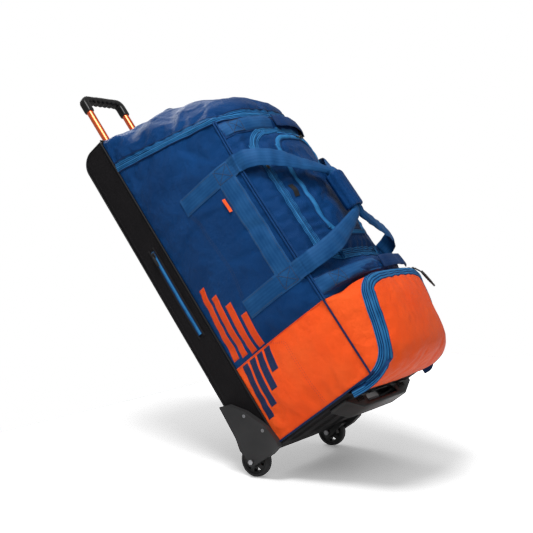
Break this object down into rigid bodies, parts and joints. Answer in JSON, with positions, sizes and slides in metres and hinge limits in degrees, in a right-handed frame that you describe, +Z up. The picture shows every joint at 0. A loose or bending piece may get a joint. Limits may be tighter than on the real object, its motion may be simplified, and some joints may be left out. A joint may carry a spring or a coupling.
{
  "type": "wheeled hockey equipment bag",
  "caption": "Tall soft-sided sports gear bag on inline wheels with a rigid back, telescopic pull handle, zipped front lid, end cap, boot pocket, carry handles and straps.",
  "frame": {"origin": "on the ground, under the middle of the bag's box, with the bag standing on its wheels and front skid", "axes": "+Z up the bag's long side towards the pull handle, +X out of the zipped front, -X out of the rigid back, -Y the near side with the zipped side pocket"},
  "size_m": [0.579, 0.4448, 1.2095],
  "materials": {
    "blue_fabric": "woven polyester, slight sheen",
    "orange_fabric": "woven polyester, slight sheen",
    "black_fabric": "coated woven polyester over a board",
    "webbing": "flat woven nylon webbing",
    "zip_blue": "coil zip and woven tape",
    "moulded_plastic": "fine moulded texture",
    "black_plastic": "satin moulded",
    "orange_anodised": "orange anodised, satin",
    "raw_aluminium": "mill finish",
    "steel": "zinc plated",
    "tyre": "moulded polyurethane",
    "board": "extruded sheet",
    "rubber": "soft matte"
  },
  "bodies": {
    "bag": {"axle_bolt_far": "steel", "axle_bolt_near": "steel", "back_board": "board", "base_plate": "black_fabric", "boot_divider": "black_fabric", "boot_pocket_frame": "orange_fabric", "front_panel": "blue_fabric", "front_skid": "moulded_plastic", "handle_anchor_far": "webbing", "handle_anchor_near": "webbing", "handle_bezel": "moulded_plastic", "handle_cover": "black_fabric", "handle_foot_bracket": "moulded_plastic", "housing_screw_far_lower": "steel", "housing_screw_far_upper": "steel", "housing_screw_near_lower": "steel", "housing_screw_near_upper": "steel", "lower_side_panel_far": "orange_fabric", "lower_side_panel_near": "orange_fabric", "lower_strap": "webbing", "lower_strap_buckle": "black_plastic", "outer_tube_far": "raw_aluminium", "outer_tube_near": "raw_aluminium", "rear_tub": "black_fabric", "side_panel_far": "blue_fabric", "side_panel_near": "blue_fabric", "side_pocket_zip": "zip_blue", "upper_strap": "webbing", "upper_strap_buckle": "black_plastic", "wheel_housing_far": "moulded_plastic", "wheel_housing_near": "moulded_plastic"},
    "telescopic_handle": {"inner_tube_near": "orange_anodised", "inner_tube_far": "orange_anodised", "guide_block_near": "black_plastic", "guide_block_far": "black_plastic", "handle_grip": "black_plastic"},
    "release_button": {"release_button": "black_plastic"},
    "wheel_near": {"wheel_tyre_near": "tyre", "wheel_hub_near": "black_plastic", "wheel_bearings_near": "steel"},
    "wheel_far": {"wheel_tyre_far": "tyre", "wheel_hub_far": "black_plastic", "wheel_bearings_far": "steel"},
    "lid": {"front_lid": "blue_fabric", "lid_pocket": "blue_fabric"},
    "end_cap": {"top_cap": "blue_fabric", "top_grab_handle": "webbing"},
    "boot_door": {"boot_pocket_door": "orange_fabric"},
    "near_handle": {"carry_handle_near": "webbing", "handle_wrap": "blue_fabric"},
    "far_handle": {"carry_handle_far": "webbing"},
    "side_pocket_runner": {"side_pocket_slider": "black_plastic"},
    "side_pocket_tag": {"side_pocket_pull": "rubber"},
    "lid_pocket_runner": {"lid_pocket_slider": "black_plastic"},
    "boot_runner": {"boot_slider": "black_plastic"},
    "boot_tag": {"boot_pull": "rubber"},
    "lid_runner": {"lid_slider": "black_plastic"},
    "cap_runner": {"cap_slider": "black_plastic"}
  },
  "joints": [
    {"name": "wheel_near_spin", "type": "hinge", "parent": "bag", "child": "wheel_near", "pos_m": [-0.2495, -0.1935, 0.04], "axis": [0, 1, 0], "continuous": true},
    {"name": "wheel_far_spin", "type": "hinge", "parent": "bag", "child": "wheel_far", "pos_m": [-0.2495, 0.1935, 0.04], "axis": [0, 1, 0], "continuous": true},
    {"name": "handle_slide", "type": "slide", "parent": "bag", "child": "telescopic_handle", "axis": [0, 0, 1], "range_m": [-0.155, 0.2]},
    {"name": "release_button_press", "type": "slide", "parent": "telescopic_handle", "child": "release_button", "axis": [0, 0, -1], "range_m": [0, 0.003], "stiffness_N_per_m": 350},
    {"name": "front_lid_hinge", "type": "hinge", "parent": "bag", "child": "lid", "pos_m": [0.189, 0.1392, 0.53], "axis": [0, 0, 1], "range_deg": [0, 105]},
    {"name": "near_handle_swing", "type": "hinge", "parent": "bag", "child": "near_handle", "pos_m": [0.1355, -0.2045, 0.5], "axis": [0, 0, -1], "range_deg": [0, 105]},
    {"name": "far_handle_swing", "type": "hinge", "parent": "bag", "child": "far_handle", "pos_m": [0.1355, 0.2045, 0.5], "axis": [0, 0, 1], "range_deg": [0, 105]},
    {"name": "end_cap_hinge", "type": "hinge", "parent": "bag", "child": "end_cap", "pos_m": [-0.158, 0, 0.987], "axis": [0, -1, 0], "range_deg": [0, 90]},
    {"name": "boot_door_hinge", "type": "hinge", "parent": "bag", "child": "boot_door", "pos_m": [0.0865, 0, 0.03], "axis": [0, 1, 0], "range_deg": [0, 90]},
    {"name": "side_pocket_slider_run", "type": "slide", "parent": "bag", "child": "side_pocket_runner", "axis": [0, 0, -1], "range_m": [0, 0.235]},
    {"name": "side_pocket_pull_swing", "type": "hinge", "parent": "side_pocket_runner", "child": "side_pocket_tag", "pos_m": [-0.1975, -0.2095, 0.6345], "axis": [-1, 0, 0], "range_deg": [0, 120]},
    {"name": "lid_pocket_slider_run", "type": "slide", "parent": "lid", "child": "lid_pocket_runner", "axis": [0, -1, 0], "range_m": [0, 0.08]},
    {"name": "boot_slider_run", "type": "slide", "parent": "boot_door", "child": "boot_runner", "axis": [0, -1, 0], "range_m": [0, 0.24]},
    {"name": "boot_pull_swing", "type": "hinge", "parent": "boot_runner", "child": "boot_tag", "pos_m": [0.2505, 0.125, 0.2525], "axis": [0, -1, 0], "range_deg": [0, 100]},
    {"name": "lid_slider_run", "type": "slide", "parent": "lid", "child": "lid_runner", "axis": [0, 0, -1], "range_m": [0, 0.22]},
    {"name": "cap_slider_run", "type": "slide", "parent": "end_cap", "child": "cap_runner", "axis": [0.9604, 0, -0.2785], "range_m": [0, 0.12]}
  ],
  "couplings": [
    {"joint": "near_handle_swing", "follows": "front_lid_hinge", "ratio": 1},
    {"joint": "far_handle_swing", "follows": "front_lid_hinge", "ratio": 1}
  ]
}
